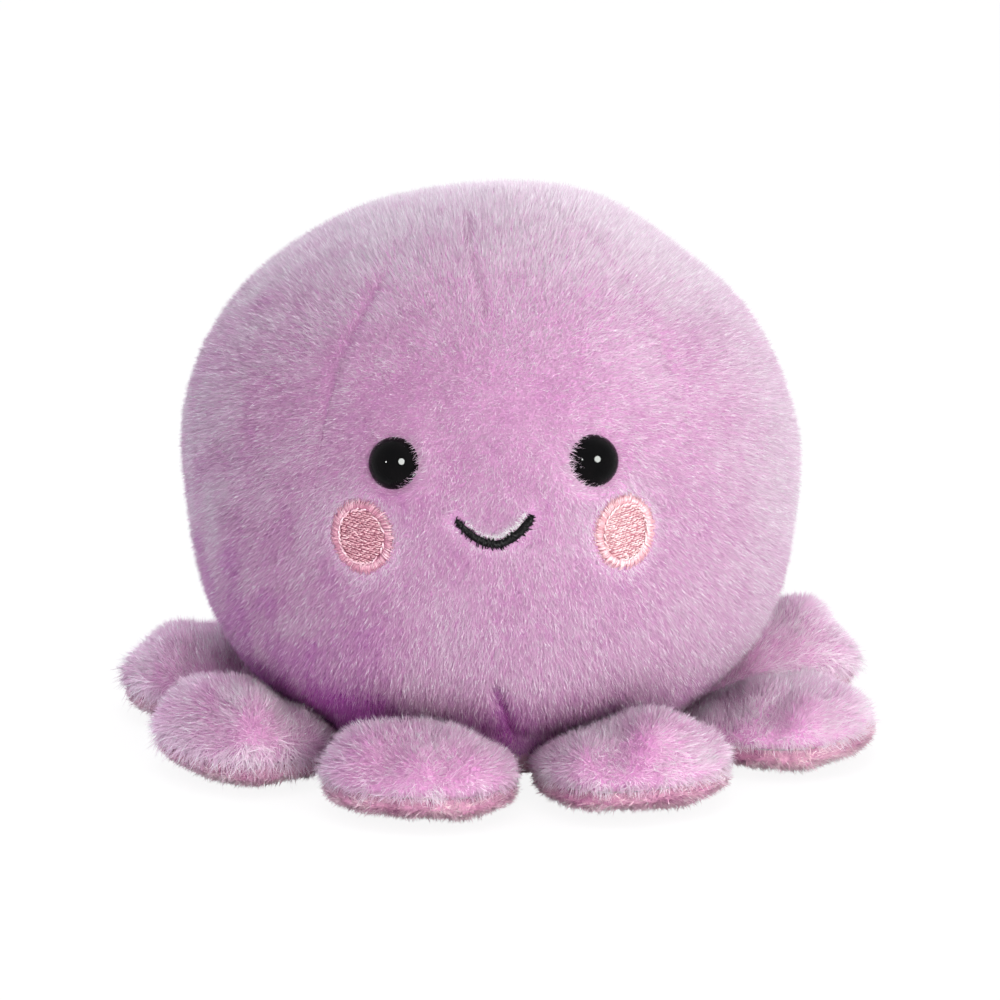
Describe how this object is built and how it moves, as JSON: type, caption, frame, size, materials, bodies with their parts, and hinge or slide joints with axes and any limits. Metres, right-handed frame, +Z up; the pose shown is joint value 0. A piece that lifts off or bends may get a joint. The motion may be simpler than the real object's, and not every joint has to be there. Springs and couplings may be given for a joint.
{
  "type": "plush octopus",
  "caption": "Palm-sized stuffed octopus toy: round lilac plush head sewn from panels, smiling face with glossy dome eyes, weighted base, and short plump arms that bend at their sewn roots",
  "frame": {"origin": "On the surface the toy stands on, under the middle of its round head; the base's flat face lies there.", "axes": "+Z up through the crown, -Y towards the viewer of the face, +X to the viewer's right."},
  "size_m": [0.1257, 0.1222, 0.0922],
  "materials": {
    "lilac_plush": "matte",
    "pink_plush": "matte",
    "cheek_thread": "satin",
    "cheek_edge_thread": "satin",
    "mouth_thread": "satin",
    "eye_gloss": "gloss",
    "washer_plastic": "satin",
    "stuffing": "matte",
    "bag_cloth": "matte",
    "pellets": "satin"
  },
  "bodies": {
    "body": {"front_panel": "lilac_plush", "left_side_panel": "lilac_plush", "right_side_panel": "lilac_plush", "back_panel": "lilac_plush", "base_panel": "pink_plush", "body_stuffing": "stuffing", "pellet_bag": "bag_cloth", "pellet_fill": "pellets", "left_eye": "eye_gloss", "right_eye": "eye_gloss", "left_eye_washer": "washer_plastic", "right_eye_washer": "washer_plastic", "left_cheek_fill": "cheek_thread", "left_cheek_border": "cheek_edge_thread", "right_cheek_fill": "cheek_thread", "right_cheek_border": "cheek_edge_thread", "mouth": "mouth_thread"},
    "arm_front_left": {"arm_front_left_top": "lilac_plush", "arm_front_left_underside": "pink_plush", "arm_front_left_stuffing": "stuffing"},
    "arm_front_right": {"arm_front_right_top": "lilac_plush", "arm_front_right_underside": "pink_plush", "arm_front_right_stuffing": "stuffing"},
    "arm_right_front": {"arm_right_front_top": "lilac_plush", "arm_right_front_underside": "pink_plush", "arm_right_front_stuffing": "stuffing"},
    "arm_right_back": {"arm_right_back_top": "lilac_plush", "arm_right_back_underside": "pink_plush", "arm_right_back_stuffing": "stuffing"},
    "arm_back_right": {"arm_back_right_top": "lilac_plush", "arm_back_right_underside": "pink_plush", "arm_back_right_stuffing": "stuffing"},
    "arm_back_left": {"arm_back_left_top": "lilac_plush", "arm_back_left_underside": "pink_plush", "arm_back_left_stuffing": "stuffing"},
    "arm_left_back": {"arm_left_back_top": "lilac_plush", "arm_left_back_underside": "pink_plush", "arm_left_back_stuffing": "stuffing"},
    "arm_left_front": {"arm_left_front_top": "lilac_plush", "arm_left_front_underside": "pink_plush", "arm_left_front_stuffing": "stuffing"}
  },
  "joints": [
    {"name": "arm_front_left_bend", "type": "hinge", "parent": "body", "child": "arm_front_left", "pos_m": [-0.00765, -0.03313, 0.0046], "axis": [-0.9744, 0.225, 0], "range_deg": [-35, 10], "stiffness_Nm_per_rad": 0.01},
    {"name": "arm_front_right_bend", "type": "hinge", "parent": "body", "child": "arm_front_right", "pos_m": [0.01622, -0.02988, 0.0046], "axis": [-0.8788, -0.4772, 0], "range_deg": [-35, 10], "stiffness_Nm_per_rad": 0.01},
    {"name": "arm_right_front_bend", "type": "hinge", "parent": "body", "child": "arm_right_front", "pos_m": [0.03215, -0.01107, 0.0046], "axis": [-0.3256, -0.9455, 0], "range_deg": [-35, 10], "stiffness_Nm_per_rad": 0.01},
    {"name": "arm_right_back_bend", "type": "hinge", "parent": "body", "child": "arm_right_back", "pos_m": [0.03081, 0.01437, 0.0046], "axis": [0.4226, -0.9063, 0], "range_deg": [-35, 10], "stiffness_Nm_per_rad": 0.01},
    {"name": "arm_back_right_bend", "type": "hinge", "parent": "body", "child": "arm_back_right", "pos_m": [0.01051, 0.03234, 0.0046], "axis": [0.9511, -0.309, 0], "range_deg": [-35, 10], "stiffness_Nm_per_rad": 0.01},
    {"name": "arm_back_left_bend", "type": "hinge", "parent": "body", "child": "arm_back_left", "pos_m": [-0.017, 0.02944, 0.0046], "axis": [0.866, 0.5, 0], "range_deg": [-35, 10], "stiffness_Nm_per_rad": 0.01},
    {"name": "arm_left_back_bend", "type": "hinge", "parent": "body", "child": "arm_left_back", "pos_m": [-0.03299, 0.00823, 0.0046], "axis": [0.2419, 0.9703, 0], "range_deg": [-35, 10], "stiffness_Nm_per_rad": 0.01},
    {"name": "arm_left_front_bend", "type": "hinge", "parent": "body", "child": "arm_left_front", "pos_m": [-0.02868, -0.01827, 0.0046], "axis": [-0.5373, 0.8434, 0], "range_deg": [-35, 10], "stiffness_Nm_per_rad": 0.01}
  ]
}
